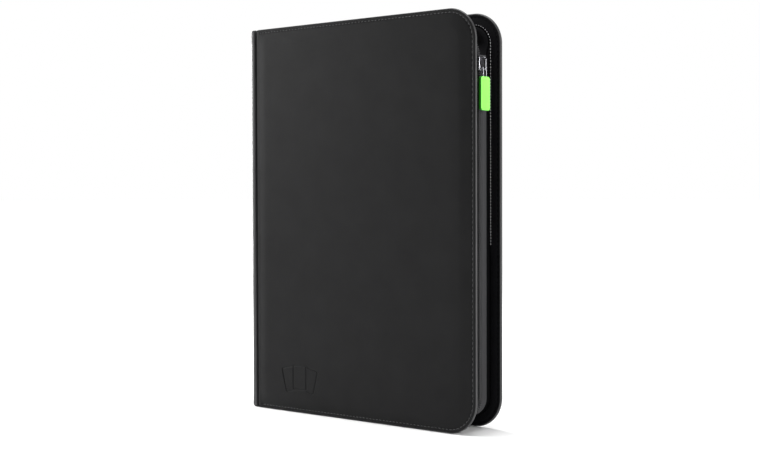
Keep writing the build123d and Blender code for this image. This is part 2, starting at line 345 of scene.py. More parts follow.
def add_node(tree, kind, output, **values):
    """The output of a new node."""
    node = tree.nodes.new("ShaderNode" + kind)
    fill_sockets(node, **values)
    return node.outputs[output]


class Nodes:
    """A new material with one Principled shader, and short ways to add texture nodes to it."""

    def __init__(self, name, color, roughness, **values):
        self.material = bpy.data.materials.new(name)
        self.material.use_nodes = True
        self.bsdf = self.material.node_tree.nodes["Principled BSDF"]
        self.add = partial(add_node, self.material.node_tree)
        self.place = self.add("TexCoord", "Object")
        fill_sockets(self.bsdf, Base_Color=(*color, 1), Roughness=roughness, **values)

    def noise(self, scale, detail=3.0, roughness=0.55):
        return self.add("TexNoise", "Fac", Scale=scale, Detail=detail, Roughness=roughness, Vector=self.place)

    def waves(self, period, direction, distortion=0.0):
        """Ridges a period apart along X, Y, Z or DIAGONAL."""
        scale = math.pi / 10 / period
        ridges = self.add("TexWave", "Fac", Scale=scale, Distortion=distortion, Detail=1.0, Vector=self.place)
        ridges.node.bands_direction = direction
        return ridges

    def math(self, operation, a, b):
        result = self.add("Math", "Value")
        result.node.operation = operation
        for value, socket in zip((a, b), result.node.inputs):
            self.material.node_tree.links.new(value, socket)
        return result

    def shades(self, fac, color, low, high, start=0.3, end=0.7):
        """A colour that goes from low to high times the given one with fac."""
        shade = self.add("ValToRGB", "Color", Fac=fac)
        ramp = shade.node.color_ramp.elements
        for element, position, factor in ((ramp[0], start, low), (ramp[1], end, high)):
            element.position = position
            element.color = (*(c * factor for c in color), 1)
        return shade

    def spread(self, fac, low, high):
        """A number that goes from low to high with fac."""
        return self.add("MapRange", "Result", Value=fac, To_Min=low, To_Max=high)

    def bump(self, height, distance, strength=1.0, **under):
        return self.add("Bump", "Normal", Height=height, Distance=distance, Strength=strength, **under)

    def finish(self, **outputs):
        """The material, after its shader's sockets have been linked."""
        fill_sockets(self.bsdf, **outputs)
        return self.material


def leather(name, color, roughness=0.5, specular=0.4):
    """Matt imitation leather with a fine woven emboss and faint wear."""
    nodes = Nodes(name, color, roughness, Specular_IOR_Level=specular)
    cross = nodes.math("ADD", nodes.waves(0.9 * MM, "X", 1.2), nodes.waves(0.8 * MM, "Z", 1.2))
    patches = nodes.noise(38, 4)
    normal = nodes.bump(nodes.noise(2200, 3), 0.05 * MM, 0.5)
    normal = nodes.bump(cross, 0.05 * MM, 0.55, Normal=normal)
    normal = nodes.bump(patches, 0.5 * MM, 0.18, Normal=normal)
    base = nodes.shades(patches, color, 0.86, 1.16)
    rough = nodes.spread(nodes.noise(260, 3), roughness - 0.06, roughness + 0.08)
    return nodes.finish(Base_Color=base, Roughness=rough, Normal=normal)


def cloth(name, color, period, roughness=0.85, sheen=0.25, height=0.09 * MM, specular=0.5):
    """Woven cloth: crossed ridges, with a little colour variation and sheen."""
    looks = {"Sheen_Weight": sheen, "Sheen_Roughness": 0.5, "Specular_IOR_Level": specular}
    nodes = Nodes(name, color, roughness, **looks)
    along = nodes.math("ADD", nodes.waves(period, "X", 0.4), nodes.waves(period, "Z", 0.4))
    weave = nodes.math("ADD", along, nodes.waves(period, "Y", 0.4))
    fuzz = nodes.noise(900, 3)
    normal = nodes.bump(weave, height, 0.6)
    normal = nodes.bump(fuzz, 0.06 * MM, 0.4, Normal=normal)
    base = nodes.shades(nodes.math("MULTIPLY", weave, fuzz), color, 0.6, 1.35, 0.2, 1.0)
    rough = nodes.spread(fuzz, roughness - 0.08, roughness + 0.08)
    return nodes.finish(Base_Color=base, Roughness=rough, Normal=normal)


def plastic(name, color, roughness, scale=700.0, height=0.02 * MM):
    """Moulded or extruded plastic with a faint surface texture."""
    nodes = Nodes(name, color, roughness)
    grain = nodes.noise(scale, 3)
    base = nodes.shades(nodes.noise(60, 2), color, 0.88, 1.12)
    rough = nodes.spread(grain, roughness - 0.05, roughness + 0.07)
    return nodes.finish(Base_Color=base, Roughness=rough, Normal=nodes.bump(grain, height, 0.5))


def plated_metal(name, color, roughness):
    """Polished dark plating with fine wear."""
    nodes = Nodes(name, color, roughness, Metallic=1.0)
    wear = nodes.noise(450, 4)
    base = nodes.shades(wear, color, 0.8, 1.25)
    rough = nodes.spread(nodes.noise(1500, 3), roughness * 0.7, roughness * 1.6)
    return nodes.finish(Base_Color=base, Roughness=rough, Normal=nodes.bump(wear, 0.02 * MM, 0.3))


def twisted_thread(name, color, sheen, specular=0.5):
    """Polyester thread, with the slant ridges of its twist."""
    nodes = Nodes(name, color, 0.55, Sheen_Weight=sheen, Specular_IOR_Level=specular)
    twist = nodes.waves(0.45 * MM, "DIAGONAL", 0.5)
    base = nodes.shades(twist, color, 0.6, 1.3)
    rough = nodes.spread(twist, 0.45, 0.65)
    return nodes.finish(Base_Color=base, Roughness=rough, Normal=nodes.bump(twist, 0.08 * MM, 0.7))


def clear_film(name):
    """Clear pocket film, with faint ripples."""
    nodes = Nodes(name, (0.9, 0.9, 0.92), 0.08, Transmission_Weight=1.0, IOR=1.45)
    rough = nodes.spread(nodes.noise(160, 2), 0.04, 0.13)
    return nodes.finish(Roughness=rough, Normal=nodes.bump(nodes.noise(45, 3), 0.4 * MM, 0.35))


LEATHER = leather("leather", (0.0078, 0.0078, 0.0081), 0.5, 0.115)
# lighter, glossier leather on the rounded edges: the gloss is its finish, the lighter colour is a painted
# highlight
LEATHER_EDGE_HIGHLIGHT = leather("leather_edge_painted_highlight", (0.03, 0.03, 0.031), 0.42, 0.45)
# darker, less glossy copy of the leather for the covers' inner faces: painted shade
INNER_LEATHER_SHADE = leather("inner_leather_painted_shade", (0.005, 0.005, 0.006), 0.55, 0.08)
# near-black copy of the inner leather for the tape's flange: painted shade at the tape's base
BINDING_SHADE = leather("binding_leather_painted_shade", (0.0015, 0.0015, 0.0018), 0.6, 0.02)
LINING = cloth("lining_cloth", (0.012, 0.012, 0.014), 0.7 * MM, 0.75, 0.15, 0.06 * MM)
TAPE = cloth("woven_tape", (0.018, 0.018, 0.02), 0.55 * MM, 0.8, 0.05)
# darker, dull copy of the tape: painted shade on the open stretch and under the coil
TAPE_SHADE = cloth("woven_tape_painted_shade", (0.003, 0.003, 0.0036), 0.55 * MM, 0.85, 0.0, specular=0.06)
COIL = plastic("coil_nylon", (0.032, 0.032, 0.034), 0.35)
THREAD = twisted_thread("black_thread", (0.04, 0.04, 0.042), 0.2, 0.45)
# near-black, dull copy of the thread: painted shade
THREAD_SHADE = twisted_thread("black_thread_painted_shade", (0.0015, 0.0015, 0.0018), 0.0, 0.03)
GREY_THREAD = twisted_thread("grey_thread", (0.5, 0.5, 0.51), 0.3)
# near-black faces at the needle holes: painted shade in the holes
HOLE_SHADE = plastic("needle_hole_painted_shade", (0.001, 0.001, 0.001), 0.9)
NICKEL = plated_metal("dark_nickel", (0.32, 0.32, 0.34), 0.13)
PAGE = plastic("page_sheet", (0.018, 0.018, 0.02), 0.42, 500.0)
FILM = clear_film("pocket_film")
BOARD = plastic("grey_board", (0.3, 0.28, 0.25), 0.9, 300.0, 0.1 * MM)
FOAM = plastic("foam", (0.3, 0.3, 0.3), 0.95, 900.0, 0.2 * MM)
RUBBER = plastic("green_rubber", (0.26, 0.95, 0.11), 0.42, 1200.0, 0.03 * MM)
# darker green on the tab's edges: painted shade on its sides
RUBBER_EDGE_SHADE = plastic("green_rubber_edge_painted_shade", (0.02, 0.3, 0.01), 0.5, 1200.0, 0.03 * MM)


# ---- covers

STITCH_INSET = 3.3 * MM
STITCH_PITCH = 3.75 * MM
STITCH_R = 0.34 * MM
STITCH_GAP = 0.2
STITCH_STEPS = 6
LEVEL_STITCHES, UPRIGHT_STITCHES, ARC_STITCHES = 58, 69, 10
COVER_COUNTS = (
    LEVEL_STITCHES * STITCH_STEPS, UPRIGHT_STITCHES * STITCH_STEPS, 3, ARC_STITCHES * STITCH_STEPS,
)
HOLE_DEPTH = 0.4 * MM
HOLE_HALF_W = 0.42 * MM
HOLE_INSETS = (3.05 * MM, 3.7 * MM)
STITCH_REACH = 2.7 * MM
# how far the leather sinks from one needle hole to the next, as shares of the hole's depth
PUCKER = (1.0, 0.12, -0.06, -0.12, -0.06, 0.12)
# depth, facing and material index of the outer and inner rows of stitches; index 1 is the near-black thread
# copy, painted shade
STITCH_ROWS = ((0.55 * MM, 1, 0), (3.48 * MM, -1, 1))
HINGE_EDGE_W = 1.5 * STITCH_INSET
HINGE_EDGE_RISE = 0.5 * MM
HINGE_EDGE_SPREAD = 0.9 * MM
FACE_INSET = 16.5 * MM
BORDER_INSET = SEAM_INSET + 2 * MM
CROWN = 1.4 * MM
CROWN_SLOPE = (3.4 * MM, 17 * MM)
HINGE_SLOPE = (0.6 * MM, 13 * MM)
COVER_RECT = ((COVER_LOW.x, COVER_LOW.z), (COVER_HIGH.x, COVER_HIGH.z))
COVER_RADII = (HINGE_R, CORNER_R)

# (inset, depth) in millimetres, from the outer face round the edge to the inner face
COVER_PROFILE = (
    (16.5, 0.0), (13.5, 0.0), (11.0, 0.0), (9.5, 0.0), (8.0, 0.0), (7.0, 0.01), (6.2, 0.03),
    (5.2, 0.08), (4.6, 0.16), (4.15, 0.28), (3.8, 0.42), (3.5, 0.53), (3.3, 0.57), (3.1, 0.55),
    (2.8, 0.44), (2.5, 0.31), (2.1, 0.22), (1.6, 0.28), (1.1, 0.46), (0.7, 0.68), (0.35, 0.95),
    (0.1, 1.45), (0.0, 2.0), (0.1, 2.55), (0.35, 3.05), (0.7, 3.4), (1.1, 3.62), (1.6, 3.72),
    (2.2, 3.7), (2.8, 3.58), (3.3, 3.48), (3.8, 3.58), (4.6, 3.78), (6.5, 3.86), (9.5, 3.9),
    (11.0, 3.9), (11.0, 3.5),
)
LINING_PROFILE = ((1.2, 3.55), (0.0, 3.6), (0.0, 3.92), (0.5, 4.02), (2.0, 4.03))

EMBLEM_CENTRE = (-64 * MM, 32 * MM)
EMBLEM_HALF_W = 8 * MM
EMBLEM_HALF_H = 11.2 * MM
EMBLEM_RADII = (2 * MM, 2 * MM)
EMBLEM_SPREAD = 11 * MM
EMBLEM_DROP = 1.6 * MM
EMBLEM_TILT = math.radians(14)
EMBLEM_LINE = 0.8 * MM
EMBLEM_DEPTH = 0.5 * MM
EMBLEM_STEP = 0.4 * MM


def emblem_depth(x, z):
    """How deep the debossed fan of three blank cards is at a point."""
    card_high = (EMBLEM_HALF_W, EMBLEM_HALF_H)
    card_low = (-EMBLEM_HALF_W, -EMBLEM_HALF_H)
    for step in (0, 1, -1):
        dx = x - (EMBLEM_CENTRE[0] + step * EMBLEM_SPREAD)
        dz = z - (EMBLEM_CENTRE[1] - abs(step) * EMBLEM_DROP)
        turn = step * EMBLEM_TILT
        across = dx * math.cos(turn) - dz * math.sin(turn)
        up = dx * math.sin(turn) + dz * math.cos(turn)
        outside = -inset_of(across, up, card_low, card_high, EMBLEM_RADII)
        if outside < EMBLEM_LINE:
            off_line = abs(outside + EMBLEM_LINE / 2)
            return EMBLEM_DEPTH * float(1 - smooth_step(off_line, 0.3 * EMBLEM_LINE, EMBLEM_LINE))
    return 0.0


def emblem_points():
    """A fine grid of points over the emblem."""
    half_x = EMBLEM_SPREAD + 1.44 * EMBLEM_HALF_W
    half_z = EMBLEM_DROP + 1.24 * EMBLEM_HALF_H
    low_z = max(EMBLEM_CENTRE[1] - half_z, FACE_INSET + EMBLEM_STEP)
    points = []
    for x in np.arange(EMBLEM_CENTRE[0] - half_x, EMBLEM_CENTRE[0] + half_x, EMBLEM_STEP):
        for z in np.arange(low_z, EMBLEM_CENTRE[1] + half_z, EMBLEM_STEP):
            points.append((x, z))
    return points


def in_metres(pairs):
    return [(a * MM, b * MM) for a, b in pairs]


def crown_share(x, z, inset):
    """How much of the crown a cover has at a point, without a crease at the spine's corners."""
    if x > (COVER_LOW.x + COVER_HIGH.x) / 2:
        return float(smooth_step(inset, *CROWN_SLOPE))
    from_end = min(z - COVER_LOW.z, COVER_HIGH.z - z)
    from_hinge = float(smooth_step(x - COVER_LOW.x, *HINGE_SLOPE))
    return from_hinge * float(smooth_step(from_end, *CROWN_SLOPE))


def cover_relief(with_emblem):
    """The outer face of a cover: its crown, stitch puckers and emblem."""

    def relief(x, z, inset, step):
        lowered = -CROWN * crown_share(x, z, inset)
        off_seam = inset - STITCH_INSET
        if off_seam < STITCH_REACH:
            if x - COVER_LOW.x < HINGE_EDGE_W:
                lowered -= HINGE_EDGE_RISE * math.exp(-((off_seam / HINGE_EDGE_SPREAD) ** 2))
            else:
                pucker = PUCKER[step % STITCH_STEPS]
                lowered += HOLE_DEPTH * pucker * math.exp(-((off_seam / HOLE_HALF_W) ** 2))
        if with_emblem:
            lowered += emblem_depth(x, z)
        return lowered

    return relief


# the faces found here take the near-black material, painted shade in the needle holes
def is_needle_hole(inset, step, x):
    """Whether a face of a cover's stitch groove, counted from 0, is at a needle hole."""
    if not HOLE_INSETS[0] < inset < HOLE_INSETS[1]:
        return False
    return step % STITCH_STEPS >= STITCH_STEPS - 2 and x > COVER_LOW.x + FACE_INSET + 1 * MM


def cover_line(side, inset, depth, facing):
    """The path round a cover's three free edges, and the distances of its needle holes."""
    loop = rounded_loop(*COVER_RECT, COVER_RADII, inset, COVER_COUNTS)
    holes = 2 * LEVEL_STITCHES + UPRIGHT_STITCHES + 2 * ARC_STITCHES
    kept = loop[STITCH_STEPS - 1 : STITCH_STEPS * holes]
    points = [cover_point(side, x, z, depth) for x, z in kept]
    path = Path(points, [(0, side * facing, 0)] * len(points))
    return path, path.along[::STITCH_STEPS]


def build_cover(name, side):
    """Leather, stitching and lining of one cover."""
    has_emblem = side < 0
    body = f"{name}_cover"
    skin = panel(
        f"{name}_cover_leather",
        partial(cover_point, side),
        COVER_RECT,
        COVER_RADII,
        COVER_COUNTS,
        in_metres(COVER_PROFILE),
        # the edge leather's lighter colour is a painted highlight; the inner leather and the needle holes are
        # painted shade
        [LEATHER, LEATHER_EDGE_HIGHLIGHT, INNER_LEATHER_SHADE, HOLE_SHADE],
        cover_relief(has_emblem),
        emblem_points() if has_emblem else (),
        is_needle_hole,
    )
    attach(skin, body)
    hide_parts(f"{name}_cover_skin")

    threads = Soup()
    for depth, facing, material in STITCH_ROWS:
        sew(threads, *cover_line(side, STITCH_INSET, depth, facing), STITCH_R, STITCH_GAP, material)
    stitching = threads.piece(f"{name}_cover_stitching", [THREAD, THREAD_SHADE])
    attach(stitching, body)

    build_lining(name, side)


def build_lining(name, side):
    """The cloth lining, laid on the board inside the turned-in leather."""
    low = (COVER_LOW.x + 2 * MM, COVER_LOW.z + BORDER_INSET - 1 * MM)
    high = (COVER_HIGH.x - BORDER_INSET + 1 * MM, COVER_HIGH.z - BORDER_INSET + 1 * MM)
    lining = panel(
        f"{name}_cover_lining_cloth",
        partial(cover_point, side),
        (low, high),
        (1 * MM, CORNER_R - BORDER_INSET),
        (60, 80, 2, 14),
        in_metres(LINING_PROFILE),
        [LINING],
    )
    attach(lining, f"{name}_cover")
    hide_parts(f"{name}_cover_lining")


# ---- spine

HEM_WIDTH = 11 * MM
HEM_RISE = 0.35 * MM
HEM_ROWS = (HEM_WIDTH - 1 * MM, HEM_WIDTH - 0.3 * MM, HEM_WIDTH + 0.4 * MM, HEM_WIDTH + 1.2 * MM)
CREASE_DEPTH = 0.12 * MM
CREASE_HALF_W = 0.6 * MM
CREASE_Z = HEM_WIDTH + 0.7 * MM
SPINE_CROWN = 0.15 * MM
SPINE_EDGE = 3 * MM
SPINE_RECT = ((SPINE_LOW.y, SPINE_LOW.z), (SPINE_HIGH.y, SPINE_HIGH.z))
SPINE_RADII = (2.5 * MM, 2.5 * MM)
SPINE_PROFILE = (
    (7.0, 0.0), (5.0, 0.02), (3.6, 0.08), (2.6, 0.22), (1.8, 0.46), (1.1, 0.85), (0.5, 1.45),
    (0.15, 2.15), (0.0, 2.9), (0.0, 4.4), (0.2, 5.0), (0.7, 5.35), (1.4, 5.45), (4.0, 5.45), (4.0, 5.0),
)


def spine_point(y, z, depth):
    """A point of the spine panel, at a depth under its outer face."""
    return (SPINE_LOW.x + depth, y, z)


def spine_relief(y, z, inset, step):
    """The doubled hems at both ends and a light crown."""
    from_end = min(z - SPINE_LOW.z, SPINE_HIGH.z - z)
    hem = float(1 - smooth_step(from_end, HEM_ROWS[0], HEM_ROWS[2]))
    crease = math.exp(-(((from_end - CREASE_Z) / CREASE_HALF_W) ** 2))
    crown = float(smooth_step(inset, SPINE_EDGE, 18 * MM))
    return -HEM_RISE * hem + CREASE_DEPTH * crease - SPINE_CROWN * crown


def build_spine():
    """Leather of the spine with its hems and their stitching."""
    rows = []
    for end in HEM_ROWS:
        for y in np.arange(-12 * MM, 12.5 * MM, 2 * MM):
            rows.append((y, SPINE_LOW.z + end))
            rows.append((y, SPINE_HIGH.z - end))
    skin = panel(
        "spine_leather",
        spine_point,
        SPINE_RECT,
        SPINE_RADII,
        (30, 260, 4, 4),
        in_metres(SPINE_PROFILE),
        # the spine's rounded edge takes the leather with a painted highlight
        [LEATHER, LEATHER_EDGE_HIGHLIGHT, LEATHER],
        spine_relief,
        rows,
    )
    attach(skin, "spine")
    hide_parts("spine_skin")

    threads = Soup()
    for z in (SPINE_LOW.z + STITCH_INSET, SPINE_HIGH.z - STITCH_INSET):
        ys = np.linspace(SPINE_LOW.y + SPINE_EDGE, SPINE_HIGH.y - SPINE_EDGE, 40)
        points = [spine_point(y, z, -HEM_RISE + 0.02 * MM) for y in ys]
        path = Path(points, [(-1, 0, 0)] * len(points))
        sew(threads, path, np.arange(0, path.length, STITCH_PITCH), STITCH_R)
    stitching = threads.piece("spine_stitching", [THREAD])
    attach(stitching, "spine")


def swept_strip(name, section, zs, thickness, materials):
    """An upright strip of leather or cloth with a bent section in X and Y."""
    line = np.asarray(section, float)
    normals = np.stack([-np.gradient(line[:, 1]), np.gradient(line[:, 0])], 1)
    normals = unit(normals) * thickness / 2
    ring = np.concatenate([line + normals, (line - normals)[::-1]])
    rings = [[(x, y, z) for x, y in ring] for z in zs]
    return new_piece(name, *tube(rings), materials)


# (across the groove from its middle, depth under the covers' outer or inner face) in millimetres
FOLD_SECTION = (
    (-2.6, 0.75), (-1.9, 0.85), (-1.3, 1.15), (-0.8, 1.7), (-0.4, 2.1), (0.0, 2.2),
    (0.4, 2.1), (0.8, 1.7), (1.3, 1.15), (1.9, 0.85), (2.6, 0.75),
)
FOLD_LINING_SECTION = (
    (-3.2, 1.6), (-2.2, 1.3), (-1.0, 0.9), (0.2, 0.55), (1.4, 0.25), (2.6, 0.12), (4.5, 0.12),
)
FOLD_T = 0.7 * MM
FOLD_LINING_T = 0.45 * MM
FOLD_STEPS = 60


def build_fold(name, side):
    """The leather and the lining that bend between the spine and a cover."""
    groove_start = SPINE_HIGH.x
    groove_end = COVER_LOW.x
    middle = (groove_start + groove_end) / 2
    zs = np.linspace(COVER_LOW.z + 0.6 * MM, COVER_HIGH.z - 0.6 * MM, FOLD_STEPS)
    outer = [(middle + x, side * (OUTER_Y - depth)) for x, depth in in_metres(FOLD_SECTION)]
    fold = swept_strip(f"{name}_hinge_leather", outer, zs, FOLD_T, [LEATHER])
    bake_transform(fold)
    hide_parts(f"{name}_hinge_fold")

    zs = np.linspace(COVER_LOW.z + 3 * MM, COVER_HIGH.z - 3 * MM, FOLD_STEPS)
    inner = [(middle + x, side * (INNER_Y - depth)) for x, depth in in_metres(FOLD_LINING_SECTION)]
    lining = swept_strip(f"{name}_hinge_lining", inner, zs, FOLD_LINING_T, [LINING])
    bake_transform(lining)


# ---- zip

COIL_PITCH = 1.67 * MM
COIL_WIRE_R = 0.36 * MM
COIL_HALF_W = 1.35 * MM
COIL_HALF_T = 0.62 * MM
COIL_OVERHANG = 0.4 * MM
COIL_TURN_POINTS = 10
CORD_STITCH_R = 0.26 * MM
CORD_FROM_EDGE = 1.15 * MM
TAPE_THICKNESS = 0.6 * MM
COIL_TOP = TAPE_THICKNESS / 2 + COIL_HALF_T + COIL_WIRE_R
TAPE_TAIL = 10 * MM
TAIL_SHRINK = 0.85
TAPE_STEP = 2.2 * MM
TAPE_SAMPLES = 14
TAPE_WIDTH = INNER_Y - 0.05 * MM
PARTING_Z = SLIDER_HIGH.z - 3 * MM
OPENING_LENGTH = {"front": 27 * MM, "back": 17 * MM}
# degrees that a fully open tape leans inwards, from its seam to its free edge
FOLD_ANGLES = {"front": (90, 90, 0, -90, -110), "back": (10, 75, 100, 100, 95)}

SEAM_X = COVER_HIGH.x - SEAM_INSET
SEAM_LOW_Z = COVER_LOW.z + SEAM_INSET
SEAM_R = CORNER_R - SEAM_INSET
SEAM_LEVEL = SEAM_X - SEAM_R - TAPE_LOW.x
SEAM_ARC = SEAM_R * math.pi / 2
SEAM_UPRIGHT = HEIGHT - 2 * CORNER_R
SEAM_LENGTH = 2 * SEAM_LEVEL + 2 * SEAM_ARC + SEAM_UPRIGHT


def seam_at(distances):
    """Points and outward normals (x, z) along the seam of the zip, from the
    spine end of the bottom edge to the spine end of the top edge."""
    past_level = np.asarray(distances, float) - SEAM_LEVEL
    past_arc = past_level - SEAM_ARC
    past_upright = past_arc - SEAM_UPRIGHT
    turned = np.clip(past_level, 0, SEAM_ARC) + np.clip(past_upright, 0, SEAM_ARC)
    angles = turned / SEAM_R - math.pi / 2
    normals = np.stack([np.cos(angles), np.sin(angles)], 1)
    on_level = np.minimum(past_level, 0) - np.maximum(past_upright - SEAM_ARC, 0)
    x = SEAM_X - SEAM_R + on_level
    z = SEAM_LOW_Z + SEAM_R + np.clip(past_arc, 0, SEAM_UPRIGHT)
    return np.stack([x, z], 1) + SEAM_R * normals, normals


def seam_distance_at_height(z):
    """The distance along the seam of a height on the fore edge."""
    return SEAM_LEVEL + SEAM_ARC + z - SEAM_LOW_Z - SEAM_R


def openness(name, distances):
    """0 where the zip is closed, and 1 where it is fully folded away."""
    start = seam_distance_at_height(PARTING_Z)
    return smooth_step(np.asarray(distances), start, start + OPENING_LENGTH[name])


def tape_curve(name, opened, samples):
    """A tape's section as (inwards, off the cover) points, of constant length.

    It stands straight up where the zip is closed. Where it is open the front
    half curls back over its seam, and the back half lies down inwards.
    """
    middles = (np.arange(samples - 1) + 0.5) / (samples - 1)
    angles = np.radians(opened * np.interp(middles, np.linspace(0, 1, 5), FOLD_ANGLES[name]))
    steps = np.stack([np.sin(angles), np.cos(angles)], 1) * TAPE_WIDTH / (samples - 1)
    return np.concatenate([[[0, 0]], np.cumsum(steps, axis=0)])


def zip_world(side, seam_points, seam_normals, inwards, off_cover):
    """World points from positions on sections across the seam."""
    x = seam_points[:, 0] - inwards * seam_normals[:, 0]
    z = seam_points[:, 1] - inwards * seam_normals[:, 1]
    y = side * (INNER_Y - off_cover)
    return np.stack([x, y, z], -1)


def tape_edge_frames(name, distances):
    """Where a tape's free edge is, with its directions, on each section."""
    table = np.linspace(0, 1, 60)
    ends = []
    for opened in table:
        curve = tape_curve(name, opened, 25)
        ends.append([*curve[-1], *unit(curve[-1] - curve[-3])])
    opened = openness(name, distances)
    return [np.interp(opened, table, column) for column in np.array(ends).T]


def beside_tape(name, side, distances, across, out, shift=0.0):
    """World points near a tape's free edge: across its width, out from its face
    and shifted along the seam."""
    points, normals = seam_at(distances)
    edge_in, edge_off, dir_in, dir_off = tape_edge_frames(name, distances)
    inwards = edge_in + dir_in * across - dir_off * out
    off_cover = edge_off + dir_off * across + dir_in * out
    moved = points + shift * np.stack([-normals[:, 1], normals[:, 0]], 1)
    return zip_world(side, moved, normals, inwards, off_cover)


def build_tape(name, side):
    """The woven tape, as a thin closed sheet along the whole seam."""
    distances = np.arange(-TAPE_TAIL, SEAM_LENGTH + TAPE_TAIL, TAPE_STEP)
    points, normals = seam_at(distances)
    opened = openness(name, distances)
    curves = np.array([tape_curve(name, share, TAPE_SAMPLES) for share in opened])
    past_end = np.maximum(-distances, distances - SEAM_LENGTH)
    curves = curves * (1 - TAIL_SHRINK * smooth_step(past_end, 2 * MM, TAPE_TAIL))[:, None, None]
    slope = unit(np.gradient(curves, axis=1))
    off = np.stack([-slope[..., 1], slope[..., 0]], -1) * TAPE_THICKNESS / 2
    sections = np.concatenate([(curves + off)[:, :-1], (curves - off)[:, -2::-1]], 1)
    sections[..., 1] = np.maximum(sections[..., 1], 0.02 * MM)
    rings = []
    for i, section in enumerate(sections):
        rings.append(zip_world(side, points[i : i + 1], normals[i : i + 1], *section.T))
    # the open stretch and the faces under the coil take the darker tape copy: painted shade
    shaded_by_coil = np.abs(np.arange(len(rings[0])) - TAPE_SAMPLES + 2) < 3
    kinds = np.append((opened > 0.1)[:-1, None] | shaded_by_coil[None], (False, False))
    tape = new_piece(f"{name}_zip_woven_tape", *tube(rings), [TAPE, TAPE_SHADE], face_materials=kinds)
    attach(tape, f"{name}_cover")
    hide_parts(f"{name}_zip_tape")


def build_coil(name, side):
    """The nylon coil, as one flattened helix, and the stitches of its filler cord."""
    start = 1 * MM + (0.5 * COIL_PITCH if side > 0 else 0.0)
    turns = int((SEAM_LENGTH - 2 * MM) / COIL_PITCH)
    phase = np.arange(turns * COIL_TURN_POINTS) * 2 * math.pi / COIL_TURN_POINTS
    distances = start + COIL_PITCH * phase / (2 * math.pi)
    across = COIL_HALF_W * np.cos(phase) - COIL_HALF_W + COIL_OVERHANG
    centres = beside_tape(name, side, distances, across, COIL_TOP + COIL_HALF_T * np.sin(phase))
    tangent = unit(np.gradient(centres, axis=0))
    normals = seam_at(distances)[1]
    run = np.stack([-normals[:, 1], np.zeros(len(normals)), normals[:, 0]], -1)
    first = unit(run - (run * tangent).sum(-1, keepdims=True) * tangent)
    wire = Soup()
    wire.add(*tube(round_rings(centres, first, np.cross(tangent, first), COIL_WIRE_R)))

    row = np.arange(0, SEAM_LENGTH, 1 * MM)
    line = beside_tape(name, side, row, -CORD_FROM_EDGE, COIL_TOP)
    ahead = beside_tape(name, side, row, -CORD_FROM_EDGE, COIL_TOP + 1 * MM)
    path = Path(line, unit(ahead - line))
    # the cord stitches take the near-black thread copy that paints shade
    sew(wire, path, np.arange(0, path.length, COIL_PITCH), CORD_STITCH_R, 0.05, 1)
    coil = wire.piece(f"{name}_zip_coil_turns", [COIL, THREAD_SHADE])
    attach(coil, f"{name}_cover")
    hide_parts(f"{name}_zip_coil")


def squared(values, power):
    """Sines or cosines whose ellipse is drawn out towards a rectangle."""
    return np.sign(values) * np.abs(values) ** power


# (millimetres along the stop, share of its full section)
STOP_SECTIONS = ((-0.2, 0.75), (0.1, 0.95), (0.5, 1.0), (2.5, 1.0), (2.9, 0.95), (3.2, 0.75))
STOP_HALF_W = 1.75 * MM
STOP_HALF_T = 1.35 * MM
STOP_OUT = 1.1 * MM


def build_stops(name, side):
    """The metal stops clenched on the ends of the coil."""
    soup = Soup()
    angles = np.linspace(0, 2 * math.pi, 20, endpoint=False)
    for distance, outwards in ((0.0, -1), (SEAM_LENGTH, 1)):
        rings = []
        for along, grown in STOP_SECTIONS:
            across = COIL_OVERHANG - COIL_HALF_W + STOP_HALF_W * grown * squared(np.cos(angles), 0.5)
            out = STOP_OUT + STOP_HALF_T * grown * squared(np.sin(angles), 0.5)
            rings.append(beside_tape(name, side, np.array([distance]), across, out, outwards * along * MM))
        soup.add(*tube(rings))
    stops = soup.piece(f"{name}_zip_end_stops", [NICKEL])
    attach(stops, f"{name}_cover")
    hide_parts(f"{name}_zip_stops")


FLANGE_CLOSED = 5.3 * MM
FLANGE_OPEN = 1.3 * MM
# (millimetres across the seam, share of the height)
FLANGE_SECTION = (
    (-0.95, 0), (-0.95, 0.5), (-0.85, 0.8), (-0.5, 1), (0.5, 1), (0.85, 0.8), (0.95, 0.5), (0.95, 0),
)
SEAM_PITCH = 2.55 * MM
SEAM_THREAD_R = 0.34 * MM
SEAM_GAP = 0.24
SEAM_GREY_Z = 157 * MM


def build_binding(name, side):
    """The leather flange that the tape is sewn into, darkened with painted shade, and its seam: grey from
    SEAM_GREY_Z up, painted shade below.
    """
    distances = np.arange(0, SEAM_LENGTH, TAPE_STEP)
    points, normals = seam_at(distances)
    heights = FLANGE_CLOSED + (FLANGE_OPEN - FLANGE_CLOSED) * openness(name, distances)
    across, share = np.array(FLANGE_SECTION).T
    rings = []
    for i, height in enumerate(heights):
        off_cover = share * height - 0.03 * MM
        rings.append(zip_world(side, points[i : i + 1], normals[i : i + 1], across * MM, off_cover))
    flange = new_piece(f"{name}_zip_binding", *tube(rings), [BINDING_SHADE])
    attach(flange, f"{name}_cover")

    line = zip_world(side, points, normals, -1.25 * MM, np.full(len(points), 0.25 * MM))
    out = np.stack([normals[:, 0], -side * np.ones(len(normals)), normals[:, 1]], -1)
    seam = Soup()
    path = Path(line, unit(out))
    marks = np.arange(0, path.length, SEAM_PITCH)
    last_shaded = int(seam_distance_at_height(SEAM_GREY_Z) / SEAM_PITCH)
    # below SEAM_GREY_Z the seam takes the near-black thread copy: painted shade
    sew(seam, path, marks[: last_shaded + 1], SEAM_THREAD_R, SEAM_GAP, 1)
    sew(seam, path, marks[last_shaded:], SEAM_THREAD_R, SEAM_GAP)
    seam_piece = seam.piece(f"{name}_zip_seam", [GREY_THREAD, THREAD_SHADE])
    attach(seam_piece, f"{name}_cover")


# ---- pages

